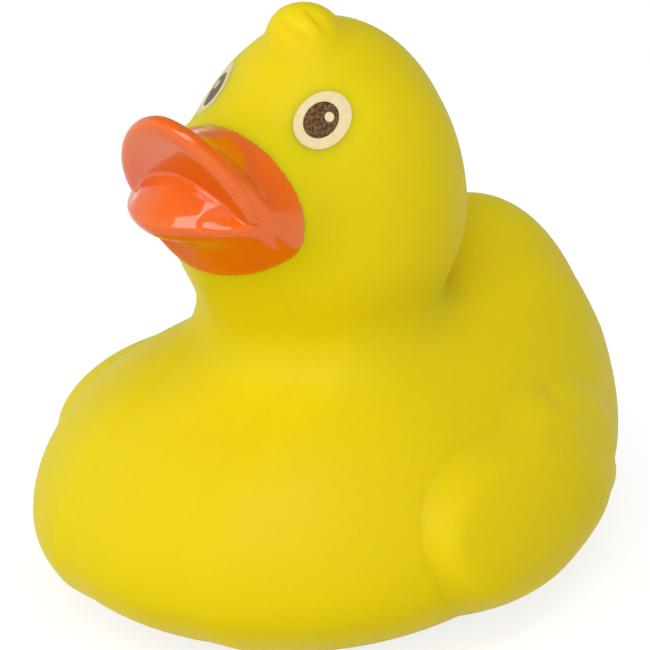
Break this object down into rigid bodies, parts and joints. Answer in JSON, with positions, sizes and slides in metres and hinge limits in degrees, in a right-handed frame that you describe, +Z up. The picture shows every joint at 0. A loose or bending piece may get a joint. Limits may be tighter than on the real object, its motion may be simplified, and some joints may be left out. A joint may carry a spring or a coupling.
{
  "type": "squeezable vinyl bath duck",
  "caption": "Soft moulded vinyl duck with an upturned tail, raised wings with feather ends, a small crest and an upturned bill; floats or stands on its flat base as a bath or desk toy.",
  "frame": {"origin": "on the ground under the middle of the duck's box", "axes": "+Z up, -Y the way the duck faces, +X its left side"},
  "size_m": [0.0656, 0.0834, 0.075],
  "materials": {
    "vinyl": "satin soft vinyl, yellow right through",
    "beak_paint": "glossy sprayed orange paint with a soft edge",
    "eye_white": "satin cream print",
    "eye_pupil": "satin dark brown print"
  },
  "bodies": {
    "root": {"vinyl_duck": "vinyl"}
  },
  "joints": []
}
